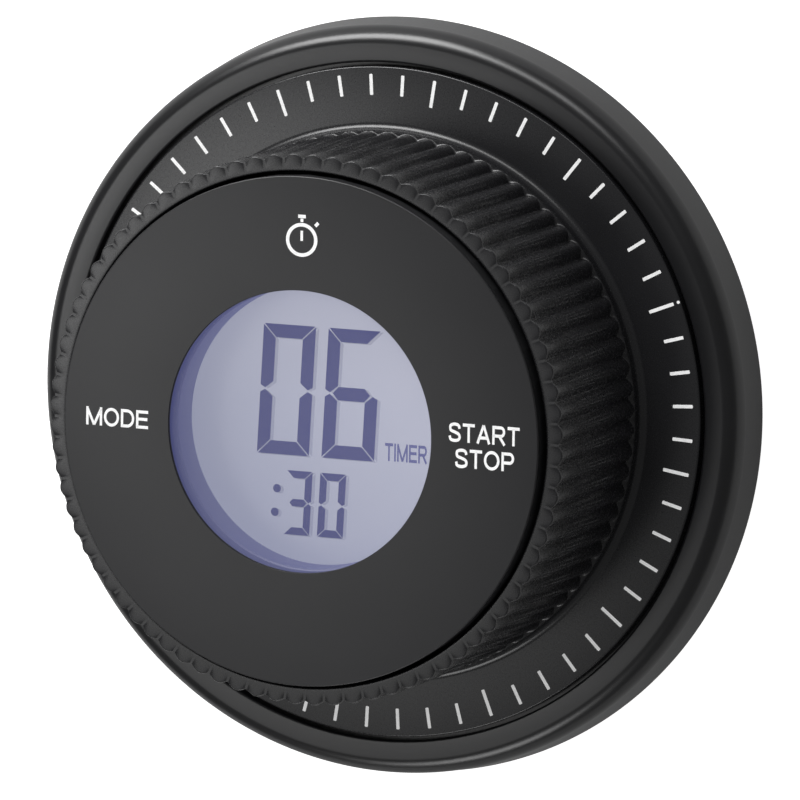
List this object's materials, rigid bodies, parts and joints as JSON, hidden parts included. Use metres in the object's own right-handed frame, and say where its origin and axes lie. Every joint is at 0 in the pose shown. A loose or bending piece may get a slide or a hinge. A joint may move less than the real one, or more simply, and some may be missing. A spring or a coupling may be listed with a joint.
{
  "type": "rotary kitchen timer",
  "caption": "Round countdown kitchen timer lying on its back: black housing, turning tick dial with fluted knob, rocking front disc with a backlit display window.",
  "frame": {"origin": "centre of the back cover's outer face, which is also the bottom centre of the whole timer", "axes": "+Z out of the display along the dial's axis; +X along the lettering on the face, to the reader's right; +Y up the face"},
  "size_m": [0.08, 0.08, 0.0293],
  "materials": {
    "housing_plastic": "satin moulded black",
    "dial_plastic": "satin moulded black with white printed ticks",
    "cover_plastic": "fine texture moulded black",
    "carrier_plastic": "satin moulded black",
    "face_film": "smooth dark grey printed film",
    "clear_lens": "clear polished",
    "chassis_plastic": "moulded dark grey",
    "display": "backlit liquid crystal, violet on pale blue",
    "light_plastic": "translucent white",
    "led": "white",
    "strip_rubber": "matt",
    "circuit_board": "green solder mask",
    "chip_plastic": "black",
    "gear_plastic": "natural acetal",
    "contact_metal": "nickel plated",
    "screw_steel": "zinc plated",
    "magnet": "nickel plated",
    "battery_cell": "printed jacket",
    "lead_red": "insulated wire",
    "lead_black": "insulated wire",
    "ribbon": "grey ribbon"
  },
  "bodies": {
    "base": {"back_cover": "cover_plastic", "backlight_led_1": "led", "backlight_led_2": "led", "battery_cell_1": "battery_cell", "battery_cell_2": "battery_cell", "battery_lead_black": "lead_black", "battery_lead_red": "lead_red", "battery_link_contact": "contact_metal", "battery_negative_contact": "contact_metal", "battery_positive_contact": "contact_metal", "battery_spring_1": "contact_metal", "battery_spring_2": "contact_metal", "board_screw_1": "screw_steel", "board_screw_2": "screw_steel", "board_screw_3": "screw_steel", "buzzer": "chip_plastic", "buzzer_lead_black": "lead_black", "buzzer_lead_red": "lead_red", "chassis_screw_1": "screw_steel", "chassis_screw_2": "screw_steel", "chassis_screw_3": "screw_steel", "chassis_screw_4": "screw_steel", "controller_chip": "chip_plastic", "encoder_board": "circuit_board", "encoder_body": "chip_plastic", "encoder_ribbon": "ribbon", "housing_screw_1": "screw_steel", "housing_screw_2": "screw_steel", "housing_screw_3": "screw_steel", "housing_screw_4": "screw_steel", "inner_chassis": "chassis_plastic", "lcd_frame": "light_plastic", "lcd_glass": "display", "light_guide": "light_plastic", "magnet_1": "magnet", "magnet_2": "magnet", "magnet_3": "magnet", "magnet_4": "magnet", "main_board": "circuit_board", "mode_switch_body": "chip_plastic", "outer_housing": "housing_plastic", "start_switch_body": "chip_plastic", "zebra_strip_lower": "strip_rubber", "zebra_strip_upper": "strip_rubber"},
    "dial": {"dial_knob": "dial_plastic", "dial_ring_gear": "gear_plastic"},
    "encoder_rotor": {"encoder_gear": "gear_plastic"},
    "face": {"face_carrier": "carrier_plastic", "face_film": "face_film", "face_lens": "clear_lens"},
    "mode_stem": {"mode_switch_stem": "gear_plastic"},
    "start_stem": {"start_switch_stem": "gear_plastic"},
    "door": {"battery_door": "cover_plastic"}
  },
  "joints": [
    {"name": "dial_spin", "type": "hinge", "parent": "base", "child": "dial", "pos_m": [0, 0, 0.0067], "axis": [0, 0, 1], "continuous": true},
    {"name": "encoder_spin", "type": "hinge", "parent": "base", "child": "encoder_rotor", "pos_m": [0, -0.02063, 0.0032], "axis": [0, 0, 1], "continuous": true},
    {"name": "face_rock", "type": "hinge", "parent": "base", "child": "face", "pos_m": [0, 0, 0.0244], "axis": [0, 1, 0], "range_deg": [-1, 1], "stiffness_Nm_per_rad": 0.6},
    {"name": "mode_press", "type": "slide", "parent": "base", "child": "mode_stem", "axis": [0, 0, -1], "range_m": [0, 0.00025], "stiffness_N_per_m": 400},
    {"name": "start_press", "type": "slide", "parent": "base", "child": "start_stem", "axis": [0, 0, -1], "range_m": [0, 0.00025], "stiffness_N_per_m": 400},
    {"name": "battery_door_swing", "type": "hinge", "parent": "base", "child": "door", "pos_m": [-0.0252, 0, 0.0007], "axis": [0, 1, 0], "range_deg": [0, 70]}
  ],
  "couplings": [
    {"joint": "encoder_spin", "follows": "dial_spin", "ratio": 3.75}
  ]
}
